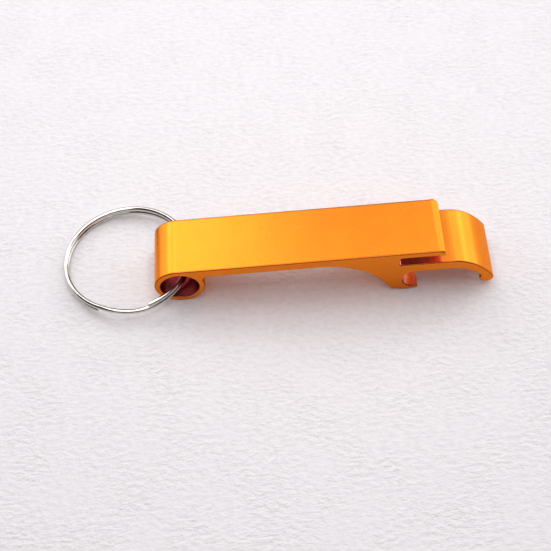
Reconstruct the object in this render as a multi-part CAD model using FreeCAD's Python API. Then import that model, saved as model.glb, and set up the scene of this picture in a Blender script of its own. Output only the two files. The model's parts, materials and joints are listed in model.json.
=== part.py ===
import FreeCAD, Part
import math
import os

# Keychain bottle opener: one aluminium extrusion, cut to width and tumbled,
# with a double-turn split ring through the bore at its end.
# All lengths are in millimetres and all angles in degrees.
# The section of the extrusion lies in X-Z. X runs from the ring end to the
# hook, and Y runs across the width. The section is drawn with the handle
# level, then the opener is tipped until it rests on its tube and its claw.

# Extrusion
width = 12.7
tube_radius = 5.0
bore_radius = 3.8
handle_thickness = 2.2
root_radius = 1.1
edge_radius = 0.2

# Claw under the handle
sweep_start_x = 28.0
sweep_radius = 14.5
sweep_turn = 65.0
heel_radius = 3.6
claw_tip_radius = 0.26
claw_tip_bearing = 275.0
notch_radius = 2.7
notch_x = 46.75

# Can-tab slot and the lip above it
slot_x = 43.5
slot_height = 2.5
slot_corner_radius = 0.4
lip_thickness = 1.4
lip_end_x = 52.3
lip_fall_radius = 4.5
lip_fall_turn = 20.0
lip_corner_radius = 1.1

# Jaw that reaches past the lip and turns down into the hook
jaw_thickness = 2.5
crest_x = 53.6
crest_radius = 8.0
crest_turn = 45.0
crook_radius = 7.5
brow_radius = 20.0
brow_turn = 14.0
bead_radius = 1.4
bead_root_radius = 0.5

# Split ring: round wire, nearly two turns, one short jog between the levels
wire_diameter = 1.0
turn_gap = 0.05
ring_radius = 12.6
ring_centre = (-10.7, 2.7, 2.08)
ring_lean_x = 4.0
ring_lean_y = 2.2
upper_tip_angle = -70.0
lower_tip_angle = -117.0
jog_points = 9

tube_z = tube_radius
handle_top_z = tube_z + tube_radius
handle_under_z = handle_top_z - handle_thickness
lip_under_z = handle_top_z - lip_thickness
jaw_top_z = lip_under_z - slot_height
jaw_under_z = jaw_top_z - jaw_thickness


def section_point(x, z):
    return FreeCAD.Vector(x, 0, z)


def polar(centre, radius, angle):
    """Point at an angle on a circle in the section plane."""
    turn = math.radians(angle)
    return centre + FreeCAD.Vector(radius * math.cos(turn), 0, radius * math.sin(turn))


def arc(centre, radius, start, end):
    """Arc from one angle to another, either way round."""
    middle = (start + end) / 2
    ends = [polar(centre, radius, angle) for angle in (start, middle, end)]
    return Part.Arc(*ends).toShape()


def line(start, end):
    return Part.LineSegment(start, end).toShape()


def bearing(start, end):
    """Angle of the line from one point of the section to another."""
    away = end - start
    return math.degrees(math.atan2(away.z, away.x))


def under_tangent_angle(first, first_radius, second, second_radius):
    """Angle at which one line touches two circles from below."""
    apart = first.distanceToPoint(second)
    spread = math.degrees(math.acos((first_radius - second_radius) / apart))
    return bearing(first, second) - spread


def meeting_point(first, first_radius, second, second_radius):
    """Where two circles cross, on the left of the line between their centres."""
    apart = first.distanceToPoint(second)
    along = (first_radius ** 2 - second_radius ** 2 + apart ** 2) / (2 * apart)
    spread = math.degrees(math.acos(along / first_radius))
    return polar(first, first_radius, bearing(first, second) + spread)


def tube_and_handle_edges():
    """Round tube, the fillet beside it and the flat underside of the handle."""
    tube = section_point(0, tube_z)
    rise = handle_under_z - root_radius - tube_z
    root_angle = math.degrees(math.asin(rise / (tube_radius + root_radius)))
    root = polar(tube, tube_radius + root_radius, root_angle)
    sweep_start = section_point(sweep_start_x, handle_under_z)
    return [
        arc(tube, tube_radius, 90, 360 + root_angle),
        arc(root, root_radius, 180 + root_angle, 90),
        line(polar(root, root_radius, 90), sweep_start),
    ]


def claw_centres():
    """Centres of the long sweep and of the round heel of the claw."""
    sweep = section_point(sweep_start_x, handle_under_z - sweep_radius)
    heel = polar(sweep, sweep_radius + heel_radius, 90 - sweep_turn)
    return sweep, heel


def claw_edges():
    """Sweep down from the handle, heel, belly, narrow tip and round notch."""
    sweep, heel = claw_centres()
    notch = section_point(notch_x, jaw_under_z - notch_radius)
    tip = polar(notch, notch_radius + claw_tip_radius, claw_tip_bearing)
    belly = 360 + under_tangent_angle(heel, heel_radius, tip, claw_tip_radius)
    return [
        arc(sweep, sweep_radius, 90, 90 - sweep_turn),
        arc(heel, heel_radius, 270 - sweep_turn, belly),
        line(polar(heel, heel_radius, belly), polar(tip, claw_tip_radius, belly)),
        arc(tip, claw_tip_radius, belly, claw_tip_bearing + 180),
        arc(notch, notch_radius, claw_tip_bearing, 90),
    ]


def jaw_edges():
    """Underside of the jaw, its crook, the bead at the hook tip, brow and crest."""
    crest = section_point(crest_x, jaw_top_z - crest_radius)
    crest_end = 90 - crest_turn
    brow_end = crest_end - brow_turn
    brow = polar(crest, crest_radius - brow_radius, crest_end)
    bead = polar(brow, brow_radius - bead_radius, brow_end)
    crook = section_point(crest_x, jaw_under_z - crook_radius)
    root = meeting_point(crook, crook_radius - bead_root_radius, bead, bead_radius + bead_root_radius)
    return [
        line(section_point(notch_x, jaw_under_z), section_point(crest_x, jaw_under_z)),
        arc(crook, crook_radius, 90, bearing(crook, root)),
        arc(root, bead_root_radius, bearing(crook, root), bearing(root, bead)),
        arc(bead, bead_radius, bearing(root, bead) + 180, brow_end + 360),
        arc(brow, brow_radius, brow_end, crest_end),
        arc(crest, crest_radius, crest_end, 90),
    ]


def slot_and_lip_edges():
    """Slot with small corner radii, the lip's end and the flat top that falls to it."""
    inner_x = slot_x + slot_corner_radius
    low = section_point(inner_x, jaw_top_z + slot_corner_radius)
    high = section_point(inner_x, lip_under_z - slot_corner_radius)
    fall_end = 90 - lip_fall_turn
    fall_x = lip_end_x - lip_fall_radius * math.cos(math.radians(fall_end))
    fall = section_point(fall_x, handle_top_z - lip_fall_radius)
    end_low = section_point(lip_end_x, lip_under_z)
    return [
        line(section_point(crest_x, jaw_top_z), polar(low, slot_corner_radius, 270)),
        arc(low, slot_corner_radius, 270, 180),
        line(polar(low, slot_corner_radius, 180), polar(high, slot_corner_radius, 180)),
        arc(high, slot_corner_radius, 180, 90),
        line(polar(high, slot_corner_radius, 90), end_low),
        line(end_low, polar(fall, lip_fall_radius, fall_end)),
        arc(fall, lip_fall_radius, fall_end, 90),
        line(polar(fall, lip_fall_radius, 90), section_point(0, handle_top_z)),
    ]


def on_end_face(edge):
    """True for an edge that lies wholly in one of the two cut faces."""
    box = edge.BoundBox
    flat = box.YLength < 0.001
    return flat and abs(abs(box.Center.y) - width / 2) < 0.001


def round_lip_end(edge):
    """True for the long edges above and below the lip's end and its back corner."""
    box = edge.BoundBox
    reaches_end = box.XMax > lip_end_x - 0.001
    return reaches_end and box.ZMin > lip_under_z - 0.001 and box.YLength > edge_radius


def lip_corner_waste():
    """What rounding the lip's back corner takes away, seen from above."""
    radius = lip_corner_radius
    centre = FreeCAD.Vector(lip_end_x - radius, width / 2 - radius, lip_under_z - slot_height / 2)
    height = lip_thickness + slot_height
    block = Part.makeBox(2 * radius, 2 * radius, height, centre)
    return block.cut(Part.makeCylinder(radius, height, centre))


def make_opener_body():
    """The extrusion, level, with its bore, its rounded lip and its tumbled edges."""
    edges = tube_and_handle_edges() + claw_edges() + jaw_edges() + slot_and_lip_edges()
    outline = Part.Face(Part.Wire(edges))
    outline.translate(FreeCAD.Vector(0, -width / 2, 0))
    blank = outline.extrude(FreeCAD.Vector(0, width, 0))
    bore_start = FreeCAD.Vector(0, -width, tube_z)
    bore = Part.makeCylinder(bore_radius, 2 * width, bore_start, FreeCAD.Vector(0, 1, 0))
    cut = blank.cut(bore).cut(lip_corner_waste())
    rim = [edge for edge in cut.Edges if on_end_face(edge) or round_lip_end(edge)]
    return cut.makeFillet(edge_radius, rim)


def rest_tilt():
    """Angle that puts the tube and the heel of the claw on one level."""
    heel = claw_centres()[1]
    drop = tube_z - heel.z
    reach = math.hypot(heel.x, drop)
    lift = math.asin((heel_radius - tube_radius) / reach)
    return math.degrees(lift + math.atan2(drop, heel.x))


def ring_point(angle, level):
    turn = math.radians(angle)
    return FreeCAD.Vector(ring_radius * math.cos(turn), ring_radius * math.sin(turn), level)


def ring_arc(start, end, level):
    middle = (start + end) / 2
    ends = [ring_point(angle, level) for angle in (start, middle, end)]
    return Part.Arc(*ends).toShape()


def ring_heading(angle):
    turn = math.radians(angle)
    return FreeCAD.Vector(-math.sin(turn), math.cos(turn), 0)


def ring_jog(start, end, top, bottom):
    """Stretch of wire that eases from the upper turn down to the lower one."""
    points = []
    for step in range(jog_points):
        share = step / (jog_points - 1)
        level = bottom + (top - bottom) * (1 + math.cos(math.pi * share)) / 2
        points.append(ring_point(start + (end - start) * share, level))
    curve = Part.BSplineCurve()
    curve.interpolate(Points=points, InitialTangent=ring_heading(start), FinalTangent=ring_heading(end))
    return curve.toShape()


def make_split_ring():
    """Double-turn ring, flat, centred on its own origin."""
    top = (wire_diameter + turn_gap) / 2
    jog_start = lower_tip_angle + 360
    jog_end = upper_tip_angle + 360
    path = Part.Wire([
        ring_arc(upper_tip_angle, jog_start, top),
        ring_jog(jog_start, jog_end, top, -top),
        ring_arc(jog_end, jog_start + 360, -top),
    ])
    start = ring_point(upper_tip_angle, top)
    circle = Part.makeCircle(wire_diameter / 2, start, ring_heading(upper_tip_angle))
    return path.makePipeShell([Part.Wire(circle)], True, True)


def place_ring(ring):
    """Lean the ring from the surface up into the bore."""
    ring.rotate(FreeCAD.Vector(0, 0, 0), FreeCAD.Vector(1, 0, 0), -ring_lean_y)
    ring.rotate(FreeCAD.Vector(0, 0, 0), FreeCAD.Vector(0, 1, 0), -ring_lean_x)
    ring.translate(FreeCAD.Vector(*ring_centre))
    return ring


def place_body(body):
    body.rotate(section_point(0, tube_z), FreeCAD.Vector(0, 1, 0), -rest_tilt())
    return body


def centre_on_floor(shapes):
    """Move everything so that the middle of its bottom is the origin."""
    box = Part.makeCompound(list(shapes.values())).optimalBoundingBox(False, False)
    shift = FreeCAD.Vector(-box.Center.x, -box.Center.y, -box.ZMin)
    for shape in shapes.values():
        shape.translate(shift)
    return shift


def main():
    shapes = {
        "opener_body": place_body(make_opener_body()),
        "split_ring": place_ring(make_split_ring()),
    }
    shift = centre_on_floor(shapes)
    print("bore axis at", FreeCAD.Vector(0, 0, tube_z) + shift, "tilt", rest_tilt())
    os.makedirs("parts", exist_ok=True)
    for name, shape in shapes.items():
        print(name, shape.isValid(), round(shape.Volume, 1), shape.BoundBox)
        shape.exportStep("parts/" + name + ".step")


main()
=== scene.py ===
import json
import math
import bpy
import bmesh
from mathutils import Matrix, Vector


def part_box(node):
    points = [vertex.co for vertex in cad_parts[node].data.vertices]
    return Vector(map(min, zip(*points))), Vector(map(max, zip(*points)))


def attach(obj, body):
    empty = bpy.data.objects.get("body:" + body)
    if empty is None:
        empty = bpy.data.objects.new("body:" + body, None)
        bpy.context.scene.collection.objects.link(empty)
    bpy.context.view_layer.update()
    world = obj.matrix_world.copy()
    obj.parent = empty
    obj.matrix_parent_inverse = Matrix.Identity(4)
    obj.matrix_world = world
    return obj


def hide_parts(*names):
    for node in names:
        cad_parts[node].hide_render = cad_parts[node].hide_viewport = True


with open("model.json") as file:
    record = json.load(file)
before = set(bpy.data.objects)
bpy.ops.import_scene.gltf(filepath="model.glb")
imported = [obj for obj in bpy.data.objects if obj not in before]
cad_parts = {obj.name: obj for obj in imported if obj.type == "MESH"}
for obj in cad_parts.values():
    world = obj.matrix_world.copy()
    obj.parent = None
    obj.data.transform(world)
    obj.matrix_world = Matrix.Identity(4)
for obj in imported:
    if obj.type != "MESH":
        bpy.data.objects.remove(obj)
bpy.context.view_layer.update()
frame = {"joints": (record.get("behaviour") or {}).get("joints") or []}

bl_info = {
    "name": "Keychain bottle opener",
    "version": (1, 0, 0),
    "blender": (4, 5, 0),
    "location": "View3D > Sidebar > Opener",
    "description": "Models an extruded aluminium bottle opener on a split ring",
    "category": "Object",
}

HINGE = Vector(frame["joints"][0]["pos_m"])
BODY_LOW, BODY_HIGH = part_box("opener_body")
RING_LOW, RING_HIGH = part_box("split_ring")

MM = 0.001
ACROSS = Vector((0, 1, 0))
ARC_STEP = math.radians(5)
SHORT_ARC_STEPS = 6
CORNER_STEPS = 9
RIM_SEGMENTS = 4
RIM_ANGLE = math.radians(45)
WIRE_SIDES = 24
TURN_STEPS = 150
JOG_STEPS = 24
MERGE_DISTANCE = 0.002 * MM
SMALL_ANGLE = 0.01


# ---------------------------------------------------------------- settings

def length(name, text, millimetres):
    """A length setting, given in millimetres and kept in metres."""
    return bpy.props.FloatProperty(
        name=name, description=text, default=millimetres * MM, min=0, unit="LENGTH", precision=5)


def angle(name, text, degrees):
    """An angle setting, given in degrees and kept in radians."""
    return bpy.props.FloatProperty(
        name=name, description=text, default=math.radians(degrees), unit="ROTATION")


def colour(name, text, code):
    """A colour setting, given as an sRGB hex value and kept linear."""
    return bpy.props.FloatVectorProperty(
        name=name, description=text, default=linear(code)[:3], size=3, min=0, max=1, subtype="COLOR")


def brightness(name, text, value):
    """How bright a light is to look at, where a white floor in full light is about 1."""
    return bpy.props.FloatProperty(name=name, description=text, default=value, min=0)


def linear(code):
    """Linear RGBA from an sRGB hex value such as #FFAA00."""
    channels = [int(code[place:place + 2], 16) / 255 for place in (1, 3, 5)]
    toe = [value / 12.92 if value <= 0.04045 else ((value + 0.055) / 1.055) ** 2.4 for value in channels]
    return (*toe, 1.0)


class OpenerBodySettings(bpy.types.PropertyGroup):
    tube_radius: length("Tube radius", "Outside radius of the round tube", 5.0)
    bore_radius: length("Bore radius", "Radius of the hole that holds the ring", 3.8)
    handle_thickness: length("Handle thickness", "Thickness of the flat handle", 2.2)
    root_radius: length("Root radius", "Fillet between the tube and the handle", 1.1)
    rim_radius: length("Rim radius", "Tumbled rounding of all sharp edges", 0.2)
    sweep_start: length("Sweep start", "From the bore to the start of the sweep", 28.0)
    sweep_radius: length("Sweep radius", "Radius of the sweep down to the claw", 14.5)
    sweep_turn: angle("Sweep turn", "How far the sweep turns downwards", 65.0)
    heel_radius: length("Heel radius", "Round heel of the claw", 3.6)
    claw_tip_radius: length("Claw tip radius", "Rounding of the claw's narrow tip", 0.26)
    claw_tip_bearing: angle("Claw tip bearing", "Where the notch ends at the claw's tip", 275.0)
    notch_radius: length("Notch radius", "Round notch that takes the cap's rim", 2.7)
    notch_place: length("Notch place", "From the bore to the middle of the notch", 46.75)
    slot_place: length("Slot place", "From the bore to the closed end of the slot", 43.5)
    slot_height: length("Slot height", "Height of the can-tab slot", 2.5)
    slot_corner: length("Slot corner", "Radius in the slot's two corners", 0.4)
    lip_thickness: length("Lip thickness", "Thickness of the lip above the slot", 1.4)
    lip_place: length("Lip place", "From the bore to the lip's end", 52.3)
    lip_fall_radius: length("Lip fall radius", "Gentle curve of the lip's top near its end", 4.5)
    lip_fall_turn: angle("Lip fall turn", "How far that curve turns downwards", 20.0)
    lip_corner: length("Lip corner", "Radius of the lip's back corner, seen from above", 1.1)
    jaw_thickness: length("Jaw thickness", "Thickness of the jaw below the slot", 2.5)
    crest_place: length("Crest place", "From the bore to where the jaw bends down", 53.6)
    crest_radius: length("Crest radius", "Outer radius of that bend", 8.0)
    crest_turn: angle("Crest turn", "How far the bend turns downwards", 45.0)
    crook_radius: length("Crook radius", "Inner radius of that bend", 7.5)
    brow_radius: length("Brow radius", "Gentle curve between the bend and the tip", 20.0)
    brow_turn: angle("Brow turn", "How far the gentle curve turns", 14.0)
    bead_radius: length("Bead radius", "Round bead at the hook's tip", 1.4)
    bead_root_radius: length("Bead root radius", "Fillet behind the bead", 0.5)
    dye: colour("Dye", "Colour of the dyed oxide over the metal", "#F0861B")
    # Painted shade: a darker colour laid along the rounded rims and on the flat past the lip's end, for the
    # dark edge lines and the lip's shadow.
    painted_rim_shade: colour("Painted rim shade", "Darker colour along the tumbled rims", "#A04A10")
    # Painted shade: a darker, redder tint inside the bore that stands in for the shade inside it.
    bore_shade_tint: colour("Bore shade tint", "Darker, redder colour inside the bore", "#C87880")
    # Painted shade: a pinker tint inside the slot and the notch that stands in for the red, interreflected
    # shade inside them.
    recess_shade_tint: colour("Recess shade tint", "Redder colour inside the slot and the notch", "#F2B4A6")


class SplitRingSettings(bpy.types.PropertyGroup):
    wire_diameter: length("Wire diameter", "Diameter of the round wire", 1.0)
    turn_gap: length("Turn gap", "Space between the two turns", 0.05)
    ring_radius: length("Ring radius", "Radius to the middle of the wire", 12.6)
    lean_x: angle("Lean along", "Rise of the ring towards the bore", 4.0)
    lean_y: angle("Lean across", "Rise of the ring towards the front", 2.2)
    upper_tip: angle("Upper tip", "Where the upper turn's wire ends", -70.0)
    lower_tip: angle("Lower tip", "Where the lower turn's wire ends", -117.0)
    tip_chamfer: length("Tip chamfer", "Broken edge round each cut end", 0.1)
    plating: colour("Plating", "Colour of the bright nickel", "#E6E2DE")
    tarnish: colour("Tarnish", "Colour of the nickel's dull spots", "#B4ACA2")


class StageSettings(bpy.types.PropertyGroup):
    floor_size: length("Floor size", "Side of the square floor", 2400.0)
    floor_colour: colour("Floor colour", "Pale plaster", "#ECE7EA")
    target: bpy.props.FloatVectorProperty(
        name="Target", description="Point that the camera looks at, from below the bore's middle",
        default=(19.16 * MM, -1.6 * MM, 0), size=3, subtype="TRANSLATION", precision=5)
    camera_distance: length("Camera distance", "From the lens to that point", 235.4)
    camera_elevation: angle("Camera elevation", "Height of the view above level", 57.56)
    camera_azimuth: angle("Camera azimuth", "Turn of the view about the upright", -2.77)
    camera_roll: angle("Camera roll", "Turn of the view about its own axis", -0.47)
    camera_lens: bpy.props.FloatProperty(
        name="Lens", description="Focal length on a 36 mm frame", default=75.4, unit="CAMERA")
    overhead: brightness("Overhead", "Large softbox above", 2.42)
    back: brightness("Back", "Softbox above and behind", 0.85)
    left: brightness("Left", "Softbox high on the left, behind", 2.32)
    left_low: brightness("Left low", "Softbox low on the left", 1.6)
    right: brightness("Right", "Softbox high on the right, behind", 1.88)
    right_low: brightness("Right low", "Softbox low on the right", 2.1)
    front: brightness("Front", "Softbox above and in front", 1.1)
    sky: brightness("Sky", "Even light from all round", 0.1)


# ---------------------------------------------------------------- modelling helpers

def start_piece(name):
    """A new mesh of one point at the origin, open in edit mode with the point selected."""
    bpy.ops.object.select_all(action="DESELECT")
    bpy.ops.mesh.primitive_plane_add(size=MM, location=(0, 0, 0))
    piece = bpy.context.object
    piece.name = name
    piece.data.name = name
    bpy.ops.object.mode_set(mode="EDIT")
    bpy.ops.mesh.select_mode(type="VERT")
    bpy.ops.mesh.select_all(action="SELECT")
    bpy.ops.mesh.merge(type="CENTER")
    return piece


def select_parts(piece, kind, test):
    """In edit mode, select only the verts, edges or faces that pass the test."""
    bpy.ops.mesh.select_mode(type=kind)
    bpy.ops.mesh.select_all(action="DESELECT")
    shape = bmesh.from_edit_mesh(piece.data)
    parts = {"VERT": shape.verts, "EDGE": shape.edges, "FACE": shape.faces}[kind]
    chosen = [part for part in parts if test(part)]
    if not chosen:
        raise RuntimeError("nothing to select on " + piece.name)
    for part in chosen:
        part.select_set(True)
    shape.select_flush_mode()
    bmesh.update_edit_mesh(piece.data)


def settle(piece, location, rotation):
    """Put a piece in its place and leave its object at the origin, unturned."""
    bpy.ops.object.mode_set(mode="OBJECT")
    piece.location = location
    piece.rotation_euler = rotation
    bpy.ops.object.transform_apply(location=True, rotation=True, scale=True)


def smooth(piece, limit):
    """Smooth shading, with the flat faces kept flat beside their rounded rims."""
    bpy.ops.object.shade_smooth_by_angle(angle=math.radians(limit))
    piece.modifiers.new("Weighted normal", "WEIGHTED_NORMAL").keep_sharp = True
    bpy.ops.object.modifier_apply(modifier="Weighted normal")


# ---------------------------------------------------------------- section drawing

def on_circle(centre, radius, bearing):
    """Point of the section at a bearing, which turns from +X towards +Z."""
    return centre + Vector((radius * math.cos(bearing), 0, radius * math.sin(bearing)))


def at(x, z):
    """Point of the section."""
    return Vector((x, 0, z))


def bearing_of(start, end):
    """Bearing of one point of the section from another."""
    return math.atan2(end.z - start.z, end.x - start.x)


def arc_steps(turn):
    """How many flats an arc is drawn with."""
    return max(SHORT_ARC_STEPS, round(abs(turn) / ARC_STEP))


def draw_arc(centre, start, end):
    """Spin the selected end point about a centre, from one bearing to another."""
    bpy.ops.mesh.spin(steps=arc_steps(end - start), angle=end - start, center=centre, axis=ACROSS)


def draw_line(start, end):
    """Extrude the selected end point from one place to another."""
    bpy.ops.mesh.extrude_region_move(TRANSFORM_OT_translate={"value": end - start})


def meeting_point(first, first_radius, second, second_radius):
    """Where two circles cross, on the left of the line between their centres."""
    apart = (second - first).length
    along = (first_radius ** 2 - second_radius ** 2 + apart ** 2) / (2 * apart)
    return on_circle(first, first_radius, bearing_of(first, second) + math.acos(along / first_radius))


def section(size):
    """Named centres and bearings of the opener's section, with the bore at the origin."""
    quarter = math.pi / 2
    top = size.tube_radius
    under = top - size.handle_thickness
    lip_under = top - size.lip_thickness
    jaw_top = lip_under - size.slot_height
    jaw_under = jaw_top - size.jaw_thickness
    root_bearing = math.asin((under - size.root_radius) / (size.tube_radius + size.root_radius))
    sweep = at(size.sweep_start, under - size.sweep_radius)
    heel = on_circle(sweep, size.sweep_radius + size.heel_radius, quarter - size.sweep_turn)
    notch = at(size.notch_place, jaw_under - size.notch_radius)
    claw_tip = on_circle(notch, size.notch_radius + size.claw_tip_radius, size.claw_tip_bearing)
    spread = math.acos((size.heel_radius - size.claw_tip_radius) / (claw_tip - heel).length)
    crest = at(size.crest_place, jaw_top - size.crest_radius)
    crest_end = quarter - size.crest_turn
    brow = on_circle(crest, size.crest_radius - size.brow_radius, crest_end)
    bead = on_circle(brow, size.brow_radius - size.bead_radius, crest_end - size.brow_turn)
    crook = at(size.crest_place, jaw_under - size.crook_radius)
    bead_root = meeting_point(
        crook, size.crook_radius - size.bead_root_radius, bead, size.bead_radius + size.bead_root_radius)
    fall_end = quarter - size.lip_fall_turn
    fall = at(size.lip_place - size.lip_fall_radius * math.cos(fall_end), top - size.lip_fall_radius)
    return dict(
        top=top, under=under, lip_under=lip_under, jaw_top=jaw_top,
        root_bearing=root_bearing, sweep=sweep, heel=heel, notch=notch, claw_tip=claw_tip,
        belly=2 * math.pi + bearing_of(heel, claw_tip) - spread, crest=crest, crest_end=crest_end,
        brow=brow, brow_end=crest_end - size.brow_turn, bead=bead, crook=crook, bead_root=bead_root,
        fall=fall, fall_end=fall_end)


def draw_tube_and_handle(size, plan):
    """Tube, its fillet and the flat underside. The end point starts at the tube's top."""
    full = 2 * math.pi
    quarter = math.pi / 2
    root = on_circle(Vector(), size.tube_radius + size.root_radius, plan["root_bearing"])
    draw_arc(Vector(), quarter, full + plan["root_bearing"])
    draw_arc(root, math.pi + plan["root_bearing"], quarter)
    draw_line(root + at(0, size.root_radius), at(size.sweep_start, plan["under"]))


def draw_claw(size, plan):
    """Sweep, heel, straight belly, narrow tip and the notch."""
    quarter = math.pi / 2
    belly = plan["belly"]
    draw_arc(plan["sweep"], quarter, quarter - size.sweep_turn)
    draw_arc(plan["heel"], 3 * quarter - size.sweep_turn, belly)
    draw_line(on_circle(plan["heel"], size.heel_radius, belly),
              on_circle(plan["claw_tip"], size.claw_tip_radius, belly))
    draw_arc(plan["claw_tip"], belly, size.claw_tip_bearing + math.pi)
    draw_arc(plan["notch"], size.claw_tip_bearing, quarter)


def draw_jaw(size, plan):
    """Underside of the jaw, crook, bead, brow and crest."""
    quarter = math.pi / 2
    root, bead = plan["bead_root"], plan["bead"]
    root_start = bearing_of(plan["crook"], root)
    root_end = bearing_of(root, bead)
    draw_line(at(size.notch_place, 0), at(size.crest_place, 0))
    draw_arc(plan["crook"], quarter, root_start)
    draw_arc(root, root_start, root_end)
    draw_arc(bead, root_end + math.pi, plan["brow_end"] + 2 * math.pi)
    draw_arc(plan["brow"], plan["brow_end"], plan["crest_end"])
    draw_arc(plan["crest"], plan["crest_end"], quarter)


def draw_slot_and_lip(size, plan):
    """Floor and end of the slot, underside and end of the lip, and the flat top."""
    quarter = math.pi / 2
    corner = size.slot_corner
    inner = size.slot_place + corner
    low = at(inner, plan["jaw_top"] + corner)
    high = at(inner, plan["lip_under"] - corner)
    fall = plan["fall"]
    lip_edge = on_circle(fall, size.lip_fall_radius, plan["fall_end"])
    draw_line(at(size.crest_place, 0), at(inner, 0))
    draw_arc(low, 3 * quarter, math.pi)
    draw_line(low, high)
    draw_arc(high, math.pi, quarter)
    draw_line(at(inner, 0), at(fall.x, 0))
    draw_line(at(fall.x, 0), at(size.lip_place, 0))
    draw_line(at(0, plan["lip_under"]), at(0, lip_edge.z))
    draw_arc(fall, plan["fall_end"], quarter)
    draw_line(at(fall.x, 0), at(0, 0))


def draw_outline(size, plan):
    """The whole outside of the section, point after point, closed where it began."""
    bpy.ops.transform.translate(value=(0, 0, plan["top"]))
    draw_tube_and_handle(size, plan)
    draw_claw(size, plan)
    draw_jaw(size, plan)
    draw_slot_and_lip(size, plan)
    bpy.ops.mesh.select_all(action="SELECT")
    bpy.ops.mesh.remove_doubles(threshold=MERGE_DISTANCE)


def draw_bore(size, plan):
    """The bore's circle, with the same steps as the tube where the two run side by side."""
    quarter = math.pi / 2
    bpy.ops.mesh.primitive_circle_add(vertices=3, radius=size.bore_radius, location=(0, 0, 0))
    bpy.ops.mesh.merge(type="CENTER")
    bpy.ops.transform.translate(value=(0, 0, size.bore_radius))
    draw_arc(Vector(), quarter, 2 * math.pi + plan["root_bearing"])
    draw_arc(Vector(), plan["root_bearing"], quarter)
    bpy.ops.mesh.select_all(action="SELECT")
    bpy.ops.mesh.remove_doubles(threshold=MERGE_DISTANCE)


def fill_section(body, size, plan):
    """Faces of the section: a band of four-sided faces round the tube, and one large face."""
    start = plan["root_bearing"] - SMALL_ANGLE
    end = math.pi / 2 + SMALL_ANGLE

    def beside_band(edge):
        middle = (edge.verts[0].co + edge.verts[1].co) / 2
        close = middle.length < size.tube_radius + MERGE_DISTANCE
        return close and not start < math.atan2(middle.z, middle.x) < end

    def beside_gap(edge):
        ends_band = len(edge.link_faces) == 1 and not beside_band(edge)
        return ends_band or not edge.link_faces

    select_parts(body, "EDGE", beside_band)
    bpy.ops.mesh.bridge_edge_loops()
    select_parts(body, "EDGE", beside_gap)
    bpy.ops.mesh.edge_face_add()


def on_lip_end(place, plan):
    """True for a place on the lip, past the start of its falling end."""
    return place.x > plan["fall"].x - MERGE_DISTANCE and place.z > plan["lip_under"] - MERGE_DISTANCE


def mark_lip_end(body, plan):
    """Divide the section's large face where the lip starts to fall."""

    def on_mark(vert):
        return on_lip_end(vert.co, plan) and vert.co.x < plan["fall"].x + MERGE_DISTANCE

    select_parts(body, "VERT", on_mark)
    bpy.ops.mesh.vert_connect_path()


def round_lip_corner(body, size, plan, width):
    """Cut the lip's back corner to a quarter circle, seen from above, one flat after another."""
    centre = Vector((size.lip_place - size.lip_corner, width / 2 - size.lip_corner, 0))
    for step in range(CORNER_STEPS):
        turn = (step + 0.5) * math.pi / 2 / CORNER_STEPS
        outward = Vector((math.cos(turn), math.sin(turn), 0))
        select_parts(body, "FACE", lambda face: all(on_lip_end(vert.co, plan) for vert in face.verts))
        bpy.ops.mesh.bisect(
            plane_co=centre + outward * size.lip_corner, plane_no=outward, use_fill=True, clear_outer=True)


def rest_tilt(size, plan):
    """Angle that brings the claw's heel down to the level of the tube's lowest line."""
    heel = plan["heel"]
    reach = math.hypot(heel.x, heel.z)
    return math.asin((size.heel_radius - size.tube_radius) / reach) + math.atan2(-heel.z, heel.x)


def bore_centre():
    """Where the middle of the bore lies, half way across the opener."""
    return Vector((HINGE.x, (BODY_LOW.y + BODY_HIGH.y) / 2, HINGE.z))


def is_sharp(edge):
    """True for an edge that tumbling rounds off: round both cut faces and round the lip's end."""
    return edge.calc_face_angle(0) > RIM_ANGLE


class OPENER_OT_body(bpy.types.Operator):
    """Draw the section, extrude it to width, round its rims and set it on its heel"""
    bl_idname = "opener.body"
    bl_label = "Opener body"

    def execute(self, context):
        size = context.scene.opener_body
        plan = section(size)
        width = BODY_HIGH.y - BODY_LOW.y
        body = start_piece("extruded_body")
        draw_outline(size, plan)
        draw_bore(size, plan)
        fill_section(body, size, plan)
        mark_lip_end(body, plan)
        bpy.ops.mesh.select_all(action="SELECT")
        bpy.ops.transform.translate(value=(0, -width / 2, 0))
        bpy.ops.mesh.extrude_region_move(TRANSFORM_OT_translate={"value": (0, width, 0)})
        round_lip_corner(body, size, plan, width)
        bpy.ops.mesh.select_all(action="SELECT")
        bpy.ops.mesh.normals_make_consistent(inside=False)
        select_parts(body, "EDGE", is_sharp)
        bpy.ops.mesh.bevel(
            offset=size.rim_radius, segments=RIM_SEGMENTS, affect="EDGES", clamp_overlap=False)
        settle(body, bore_centre(), (0, -rest_tilt(size, plan), 0))
        smooth(body, 35)
        body.data.materials.clear()
        body.data.materials.append(anodised_aluminium(size))
        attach(body, "opener")
        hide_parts("opener_body")
        return {"FINISHED"}


# ---------------------------------------------------------------- split ring

def wind_ring(size):
    """Spin the wire's circle round the upper turn, down the jog and round the lower turn."""
    level = (size.wire_diameter + size.turn_gap) / 2
    turn = 2 * math.pi + size.lower_tip - size.upper_tip
    jog = size.upper_tip - size.lower_tip
    start = Vector((math.cos(size.upper_tip), math.sin(size.upper_tip), 0)) * size.ring_radius
    start.z = level
    bpy.ops.mesh.primitive_circle_add(
        vertices=WIRE_SIDES, radius=size.wire_diameter / 2, location=start,
        rotation=(math.pi / 2, 0, size.upper_tip))
    spin_wire(turn, TURN_STEPS)
    for step in range(JOG_STEPS):
        drop = math.cos(math.pi * step / JOG_STEPS) - math.cos(math.pi * (step + 1) / JOG_STEPS)
        spin_wire(jog / JOG_STEPS, 1)
        bpy.ops.transform.translate(value=(0, 0, -level * drop))
    spin_wire(turn, TURN_STEPS)


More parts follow.
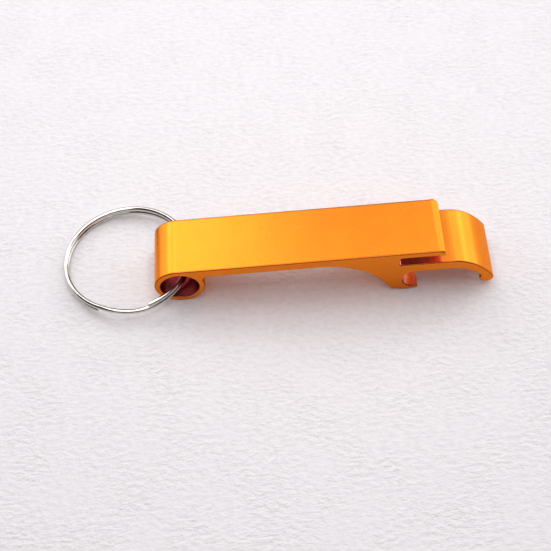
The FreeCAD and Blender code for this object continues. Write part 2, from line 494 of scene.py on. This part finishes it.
def spin_wire(turn, steps):
    """Carry the selected end of the wire on round the middle of the ring."""
    bpy.ops.mesh.spin(steps=steps, angle=-turn, center=(0, 0, 0), axis=(0, 0, 1))


class OPENER_OT_ring(bpy.types.Operator):
    """Wind the split ring from round wire, finish its ends and lean it into the bore"""
    bl_idname = "opener.ring"
    bl_label = "Split ring"

    def execute(self, context):
        size = context.scene.opener_ring
        ring = start_piece("wound_ring")
        bpy.ops.mesh.delete(type="VERT")
        wind_ring(size)
        bpy.ops.mesh.select_all(action="SELECT")
        bpy.ops.mesh.remove_doubles(threshold=MERGE_DISTANCE)
        select_parts(ring, "EDGE", lambda edge: len(edge.link_faces) == 1)
        bpy.ops.mesh.fill_holes(sides=0)
        select_parts(ring, "EDGE", lambda edge: any(len(face.verts) > 4 for face in edge.link_faces))
        bpy.ops.mesh.bevel(offset=size.tip_chamfer, segments=2, affect="EDGES", clamp_overlap=False)
        bpy.ops.mesh.select_all(action="SELECT")
        bpy.ops.mesh.normals_make_consistent(inside=False)
        place = (RING_LOW + RING_HIGH) / 2
        lean_across = Matrix.Rotation(-size.lean_y, 3, "X")
        lean = Matrix.Rotation(-size.lean_x, 3, "Y") @ lean_across
        settle(ring, place, lean.to_euler())
        smooth(ring, 40)
        ring.data.materials.clear()
        ring.data.materials.append(nickel_plated_wire(size, place, lean))
        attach(ring, "ring")
        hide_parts("split_ring")
        return {"FINISHED"}


# ---------------------------------------------------------------- materials

def new_material(name):
    """A material with its node tree and its shader."""
    material = bpy.data.materials.new(name)
    material.use_nodes = True
    return material, material.node_tree, material.node_tree.nodes["Principled BSDF"]


def node(tree, kind, links=None, values=None, **properties):
    """Add a node with its properties, the fixed values of its inputs and the links into them."""
    made = tree.nodes.new(kind)
    for name, value in properties.items():
        setattr(made, name, value)
    for place, value in (values or {}).items():
        made.inputs[place].default_value = value
    for place, socket in (links or {}).items():
        tree.links.new(socket, made.inputs[place])
    return made


def per(millimetres):
    """Scale that gives a pattern one cell in so many millimetres."""
    return 1 / (millimetres * MM)


def anodised_aluminium(size):
    """Extruded aluminium, tumbled, then dyed and sealed in an oxide layer.

    The dye tints the metal's own reflection, the tumbling makes that reflection soft and
    finely grained, and the clear sealed oxide adds a second, weak one. Faint die lines run
    across the width. The sawn faces are duller. Painted shade: a darker colour is laid along
    the tumbled rims and on the flat just past the lip's end, for the dark edge lines and the
    lip's shadow there. The bore, the slot and the notch take redder painted shade colours
    that stand in for the shade inside these hollows.
    """
    material, tree, shader = new_material("Anodised aluminium, tumbled and dyed")
    place = node(tree, "ShaderNodeTexCoord")
    where = place.outputs["Object"]
    shade = add_aluminium_masks(tree, place, size)
    cloud = node(tree, "ShaderNodeTexNoise", {"Vector": where}, {"Scale": per(7), "Detail": 3})
    # The real grain is about 0.1 mm. It is drawn at 0.6 mm so that it shows.
    grain = node(tree, "ShaderNodeTexNoise", {"Vector": where},
                 {"Scale": per(0.6), "Detail": 3, "Roughness": 0.7})
    along = node(tree, "ShaderNodeMapping", {"Vector": where}, {"Scale": (per(0.5), per(14), per(0.5))})
    die_lines = node(tree, "ShaderNodeTexNoise", {"Vector": along.outputs["Vector"]},
                     {"Scale": 1, "Detail": 2})
    scratches = add_scratches(tree, where)

    hue = node(tree, "ShaderNodeMapRange", {"Value": cloud.outputs["Fac"]},
               {"From Min": 0.3, "From Max": 0.7, "To Min": 0.498, "To Max": 0.502})
    spots = node(tree, "ShaderNodeMapRange", {"Value": grain.outputs["Fac"]},
                 {"From Min": 0.3, "From Max": 0.7, "To Min": 0.96, "To Max": 1.03})
    dyed = node(tree, "ShaderNodeHueSaturation",
                {"Hue": hue.outputs["Result"], "Value": spots.outputs["Result"]}, {"Color": (*size.dye, 1)})
    # Painted shade colour in the slot and the notch, mixed over the dye.
    recess_shaded = node(tree, "ShaderNodeMix", {0: shade["recess"], 6: dyed.outputs["Color"]},
                    {7: (*size.recess_shade_tint, 1)}, data_type="RGBA")
    # Painted shade colour inside the bore.
    bore_shaded = node(tree, "ShaderNodeMix", {0: shade["bore"], 6: recess_shaded.outputs[2]},
                 {7: (*size.bore_shade_tint, 1)}, data_type="RGBA")
    # Painted shade along the rims and on the flat past the lip's end.
    rim_shaded = node(tree, "ShaderNodeMix", {0: shade["rim"], 6: bore_shaded.outputs[2]},
                  {7: (*size.painted_rim_shade, 1)}, data_type="RGBA")
    tree.links.new(rim_shaded.outputs[2], shader.inputs["Base Color"])

    satin = node(tree, "ShaderNodeMapRange", {"Value": shade["cut"]}, {"To Min": 0.26, "To Max": 0.42})
    worn = node(tree, "ShaderNodeMapRange", {"Value": grain.outputs["Fac"]},
                {"From Min": 0.3, "From Max": 0.7, "To Min": -0.01, "To Max": 0.01})
    patchy = node(tree, "ShaderNodeMath", {0: satin.outputs["Result"], 1: worn.outputs["Result"]},
                  operation="ADD")
    scratched = node(tree, "ShaderNodeMath", {0: scratches, 2: patchy.outputs["Value"]}, {1: 0.015},
                     operation="MULTIPLY_ADD")
    tree.links.new(scratched.outputs["Value"], shader.inputs["Roughness"])
    shader.inputs["Metallic"].default_value = 1.0
    shader.inputs["Specular Tint"].default_value = linear("#FFD9A8")
    shader.inputs["Coat Weight"].default_value = 0.2
    shader.inputs["Coat Roughness"].default_value = 0.25

    grained = node(tree, "ShaderNodeBump", {"Height": grain.outputs["Fac"]},
                   {"Strength": 0.5, "Distance": 0.012 * MM})
    lined = node(tree, "ShaderNodeBump",
                 {"Height": die_lines.outputs["Fac"], "Normal": grained.outputs["Normal"]},
                 {"Strength": 0.4, "Distance": 0.005 * MM})
    marked = node(tree, "ShaderNodeBump", {"Height": scratches, "Normal": lined.outputs["Normal"]},
                  {"Strength": 0.2, "Distance": 0.0015 * MM}, invert=True)
    tree.links.new(marked.outputs["Normal"], shader.inputs["Normal"])
    return material


def add_aluminium_masks(tree, place, size):
    """Masks for the sawn faces, the painted shade along the rims and past the lip's end, and the painted shade
    colours of the bore, the slot and the notch.
    """
    plan = section(size)
    half_width = (BODY_HIGH.y - BODY_LOW.y) / 2
    facing = node(tree, "ShaderNodeSeparateXYZ", {"Vector": place.outputs["Normal"]})
    sideways = node(tree, "ShaderNodeMath", {0: facing.outputs["Y"]}, operation="ABSOLUTE")
    cut = node(tree, "ShaderNodeMapRange", {"Value": sideways.outputs["Value"]},
               {"From Min": 0.7, "From Max": 1.0})

    laid = node(tree, "ShaderNodeMapping", {"Vector": place.outputs["Object"]},
                {"Location": bore_centre(), "Rotation": (0, -rest_tilt(size, plan), 0)}, vector_type="TEXTURE")
    spot = node(tree, "ShaderNodeSeparateXYZ", {"Vector": laid.outputs["Vector"]})
    from_middle = node(tree, "ShaderNodeMath", {0: spot.outputs["Y"]}, operation="ABSOLUTE")
    # Painted shade: the rounded rims, and a band of the flat faces beside them, get a dark line that stands in
    # for the shading of the rims.
    rounding = node(tree, "ShaderNodeMath", {0: sideways.outputs["Value"]}, {1: 0.6, 2: 0.36},
                    operation="COMPARE")
    beside_rim = node(tree, "ShaderNodeMapRange", {"Value": from_middle.outputs["Value"]},
                      {"From Min": half_width - 0.45 * MM, "From Max": half_width - 0.15 * MM, "To Max": 0.8})
    uncut = node(tree, "ShaderNodeMath", {0: sideways.outputs["Value"]}, {1: 0.96}, operation="LESS_THAN")
    fading = node(tree, "ShaderNodeMath", {0: beside_rim.outputs["Result"], 1: uncut.outputs["Value"]},
                  operation="MULTIPLY")
    tumbled = node(tree, "ShaderNodeMath", {0: rounding.outputs["Value"], 1: fading.outputs["Value"]},
                   operation="MAXIMUM")

    in_section = node(tree, "ShaderNodeVectorMath", {0: laid.outputs["Vector"]}, {1: (1, 0, 1)},
                      operation="MULTIPLY")
    radius = node(tree, "ShaderNodeVectorMath", {0: in_section.outputs["Vector"]}, operation="LENGTH")
    # Painted shade: mask of the bore's inside.
    bore = node(tree, "ShaderNodeMapRange", {"Value": radius.outputs["Value"]},
                {"From Min": size.bore_radius + 0.05 * MM, "From Max": size.bore_radius + 0.3 * MM,
                 "To Min": 1, "To Max": 0})
    # Painted shade: masks of the notch and of the slot under the lip.
    from_notch = node(tree, "ShaderNodeVectorMath", {0: in_section.outputs["Vector"]}, {1: plan["notch"]},
                      operation="DISTANCE")
    notch = node(tree, "ShaderNodeMapRange", {"Value": from_notch.outputs["Value"]},
                 {"From Min": size.notch_radius + 0.05 * MM, "From Max": size.notch_radius + 0.3 * MM,
                  "To Min": 1, "To Max": 0})
    in_height = node(tree, "ShaderNodeMath", {0: spot.outputs["Z"]},
                     {1: (plan["jaw_top"] + plan["lip_under"]) / 2, 2: size.slot_height / 2 + 0.06 * MM},
                     operation="COMPARE")
    past_end = node(tree, "ShaderNodeMath", {0: spot.outputs["X"]}, {1: size.slot_place - 0.1 * MM},
                    operation="GREATER_THAN")
    under_lip = node(tree, "ShaderNodeMapRange", {"Value": spot.outputs["X"]},
                     {"From Min": size.lip_place - 3 * MM, "From Max": size.lip_place,
                      "To Min": 1, "To Max": 0})
    # Painted shadow of the lip: the jaw's flat past the lip's end gets up to 0.3 of the darker rim shade
    # colour.
    past_lip = node(tree, "ShaderNodeMapRange", {"Value": spot.outputs["X"]},
                    {"From Min": size.lip_place - 0.5 * MM, "From Max": size.lip_place, "To Max": 0.3})
    slot_end = node(tree, "ShaderNodeMath", {0: in_height.outputs["Value"], 1: past_end.outputs["Value"]},
                    operation="MULTIPLY")
    slot = node(tree, "ShaderNodeMath", {0: slot_end.outputs["Value"], 1: under_lip.outputs["Result"]},
                operation="MULTIPLY")
    recess = node(tree, "ShaderNodeMath", {0: slot.outputs["Value"], 1: notch.outputs["Result"]},
                  operation="MAXIMUM")
    lip_shadow = node(tree, "ShaderNodeMath", {0: slot_end.outputs["Value"], 1: past_lip.outputs["Result"]},
                     operation="MULTIPLY")
    # Painted shade: the rim lines and the lip's painted shadow together.
    rim = node(tree, "ShaderNodeMath", {0: tumbled.outputs["Value"], 1: lip_shadow.outputs["Value"]},
               operation="MAXIMUM")
    return {"cut": cut.outputs["Result"], "rim": rim.outputs["Value"], "bore": bore.outputs["Result"],
            "recess": recess.outputs["Value"]}


def add_scratches(tree, where):
    """Mask of sparse fine scratches, 6 mm long, that cross in two directions."""
    masks = []
    for turn in (24, -37):
        laid = node(tree, "ShaderNodeMapping", {"Vector": where},
                    {"Rotation": (0, 0, math.radians(turn)), "Scale": (6 * MM, 0.2 * MM, 3 * MM)},
                    vector_type="TEXTURE")
        noise = node(tree, "ShaderNodeTexNoise", {"Vector": laid.outputs["Vector"]}, {"Scale": 1, "Detail": 0})
        mask = node(tree, "ShaderNodeMapRange", {"Value": noise.outputs["Fac"]},
                    {"From Min": 0.74, "From Max": 0.84})
        masks.append(mask.outputs["Result"])
    return node(tree, "ShaderNodeMath", {0: masks[0], 1: masks[1]}, operation="MAXIMUM").outputs["Value"]


def nickel_plated_wire(size, place, lean):
    """Drawn spring-steel wire with bright nickel plating.

    The plating is mirror-like and slightly warm. Faint draw lines follow the wire, and small
    dull spots break its highlights.
    """
    material, tree, shader = new_material("Nickel-plated spring steel wire")
    where = node(tree, "ShaderNodeTexCoord").outputs["Object"]
    flat = node(tree, "ShaderNodeMapping", {"Vector": where},
                {"Location": place, "Rotation": lean.to_euler()}, vector_type="TEXTURE")
    parts = node(tree, "ShaderNodeSeparateXYZ", {"Vector": flat.outputs["Vector"]})
    level = node(tree, "ShaderNodeVectorMath", {0: flat.outputs["Vector"]}, {1: (1, 1, 0)},
                 operation="MULTIPLY")
    radius = node(tree, "ShaderNodeVectorMath", {0: level.outputs["Vector"]}, operation="LENGTH")
    across = node(tree, "ShaderNodeCombineXYZ", {"X": radius.outputs["Value"], "Y": parts.outputs["Z"]})
    draw_lines = node(tree, "ShaderNodeTexNoise", {"Vector": across.outputs["Vector"]},
                      {"Scale": per(0.12), "Detail": 2})
    dull_spots = node(tree, "ShaderNodeTexNoise", {"Vector": flat.outputs["Vector"]},
                      {"Scale": per(0.8), "Detail": 4, "Roughness": 0.6})
    roughness = node(tree, "ShaderNodeMapRange", {"Value": dull_spots.outputs["Fac"]},
                     {"From Min": 0.35, "From Max": 0.75, "To Min": 0.04, "To Max": 0.16})
    tint = node(tree, "ShaderNodeMix", {0: dull_spots.outputs["Fac"]},
                {6: (*size.plating, 1), 7: (*size.tarnish, 1)}, data_type="RGBA")
    bump = node(tree, "ShaderNodeBump", {"Height": draw_lines.outputs["Fac"]},
                {"Strength": 0.35, "Distance": 0.006 * MM})
    tree.links.new(tint.outputs[2], shader.inputs["Base Color"])
    tree.links.new(roughness.outputs["Result"], shader.inputs["Roughness"])
    tree.links.new(bump.outputs["Normal"], shader.inputs["Normal"])
    shader.inputs["Metallic"].default_value = 1.0
    return material


def pale_plaster(size):
    """Matt off-white plaster, trowelled from side to side.

    Shallow dents, a millimetre or two long, lie along the trowel's way, with a fine grit
    between them.
    """
    material, tree, shader = new_material("Matt pale plaster")
    where = node(tree, "ShaderNodeTexCoord").outputs["Object"]
    trowelled = node(tree, "ShaderNodeMapping", {"Vector": where}, {"Scale": (0.55, 1, 1)})
    dents = node(tree, "ShaderNodeTexNoise", {"Vector": trowelled.outputs["Vector"]},
                 {"Scale": per(0.85), "Detail": 3, "Roughness": 0.55})
    waves = node(tree, "ShaderNodeTexNoise", {"Vector": where}, {"Scale": per(9), "Detail": 2})
    grit = node(tree, "ShaderNodeTexNoise", {"Vector": where}, {"Scale": per(0.5), "Detail": 2})
    tone = node(tree, "ShaderNodeMapRange", {"Value": dents.outputs["Fac"]},
                {"From Min": 0.3, "From Max": 0.6, "To Min": 0.935, "To Max": 1.01})
    toned = node(tree, "ShaderNodeHueSaturation", {"Value": tone.outputs["Result"]},
                 {"Color": (*size.floor_colour, 1)})
    depth = node(tree, "ShaderNodeMapRange", {"Value": waves.outputs["Fac"]},
                 {"From Min": 0.35, "From Max": 0.65, "To Min": 0.3, "To Max": 0.9})
    dented = node(tree, "ShaderNodeBump", {"Height": dents.outputs["Fac"], "Strength": depth.outputs["Result"]},
                  {"Distance": 0.5 * MM})
    gritty = node(tree, "ShaderNodeBump", {"Height": grit.outputs["Fac"], "Normal": dented.outputs["Normal"]},
                  {"Strength": 0.4, "Distance": 0.12 * MM})
    tree.links.new(toned.outputs["Color"], shader.inputs["Base Color"])
    tree.links.new(gritty.outputs["Normal"], shader.inputs["Normal"])
    shader.inputs["Roughness"].default_value = 0.9
    return material


# ---------------------------------------------------------------- stage

def add_softbox(name, brightness, side, distance, tilt, turn):
    """Square softbox that looks at the origin.

    Tilt leans it back from straight above, and turn swings it from there to the left.
    A square lamp of that side is as bright to look at as its power over pi times its area.
    """
    lamp = bpy.data.lights.new(name, "AREA")
    lamp.energy = brightness * math.pi * side ** 2
    lamp.size = side
    box = bpy.data.objects.new(name, lamp)
    bpy.context.scene.collection.objects.link(box)
    aim = Matrix.Rotation(math.radians(turn), 3, "Z") @ Matrix.Rotation(math.radians(-tilt), 3, "X")
    box.location = aim @ Vector((0, 0, distance))
    box.rotation_euler = aim.to_euler()


def add_camera(stage):
    """Camera that looks at a point of the floor, as high, turned and rolled as the settings say."""
    lens = bpy.data.cameras.new("View")
    lens.lens = stage.camera_lens
    lens.clip_start = 0.01
    camera = bpy.data.objects.new("View", lens)
    bpy.context.scene.collection.objects.link(camera)
    turn = Matrix.Rotation(stage.camera_azimuth, 3, "Z")
    rise = Matrix.Rotation(math.pi / 2 - stage.camera_elevation, 3, "X")
    roll = Matrix.Rotation(stage.camera_roll, 3, "Z")
    aim = turn @ rise
    target = Vector((HINGE.x, HINGE.y, 0)) + Vector(stage.target)
    camera.location = target + aim @ Vector((0, 0, stage.camera_distance))
    camera.rotation_euler = (aim @ roll).to_euler()
    bpy.context.scene.camera = camera


class OPENER_OT_stage(bpy.types.Operator):
    """Lay a pale floor, hang the softboxes and set up the camera"""
    bl_idname = "opener.stage"
    bl_label = "Stage"

    def execute(self, context):
        stage = context.scene.opener_stage
        bpy.ops.object.select_all(action="DESELECT")
        bpy.ops.mesh.primitive_plane_add(size=stage.floor_size, location=(0, 0, 0))
        floor = context.object
        floor.name = "floor"
        floor.data.materials.append(pale_plaster(stage))
        add_softbox("Overhead", stage.overhead, side=0.26, distance=0.35, tilt=1, turn=0)
        add_softbox("Back", stage.back, side=0.2, distance=0.25, tilt=25, turn=0)
        add_softbox("Left", stage.left, side=0.28, distance=0.5, tilt=45, turn=35)
        add_softbox("Left low", stage.left_low, side=0.4, distance=0.5, tilt=72, turn=60)
        add_softbox("Right", stage.right, side=0.26, distance=0.5, tilt=49, turn=-40)
        add_softbox("Right low", stage.right_low, side=0.4, distance=0.5, tilt=75, turn=-70)
        add_softbox("Front", stage.front, side=0.3, distance=0.5, tilt=-30, turn=0)
        world = bpy.data.worlds.new("Studio")
        world.use_nodes = True
        sky = world.node_tree.nodes["Background"]
        sky.inputs["Color"].default_value = (1, 1, 1, 1)
        sky.inputs["Strength"].default_value = stage.sky
        context.scene.world = world
        context.scene.view_settings.view_transform = "Standard"
        add_camera(stage)
        return {"FINISHED"}


# ---------------------------------------------------------------- add-on

class OPENER_PT_panel(bpy.types.Panel):
    """Buttons that make the opener and its stage"""
    bl_idname = "OPENER_PT_panel"
    bl_label = "Keychain bottle opener"
    bl_space_type = "VIEW_3D"
    bl_region_type = "UI"
    bl_category = "Opener"

    def draw(self, context):
        for name, group in GROUPS.items():
            self.layout.operator("opener." + name)
            for setting in group.__annotations__:
                self.layout.prop(getattr(context.scene, "opener_" + name), setting)


GROUPS = {"body": OpenerBodySettings, "ring": SplitRingSettings, "stage": StageSettings}
CLASSES = (*GROUPS.values(), OPENER_OT_body, OPENER_OT_ring, OPENER_OT_stage, OPENER_PT_panel)


def register():
    for cls in CLASSES:
        bpy.utils.register_class(cls)
    for name, group in GROUPS.items():
        setattr(bpy.types.Scene, "opener_" + name, bpy.props.PointerProperty(type=group))


def unregister():
    for name in GROUPS:
        delattr(bpy.types.Scene, "opener_" + name)
    for cls in reversed(CLASSES):
        bpy.utils.unregister_class(cls)


def main():
    register()
    bpy.ops.opener.body()
    bpy.ops.opener.ring()
    bpy.ops.opener.stage()


if __name__ == "__main__":
    main()
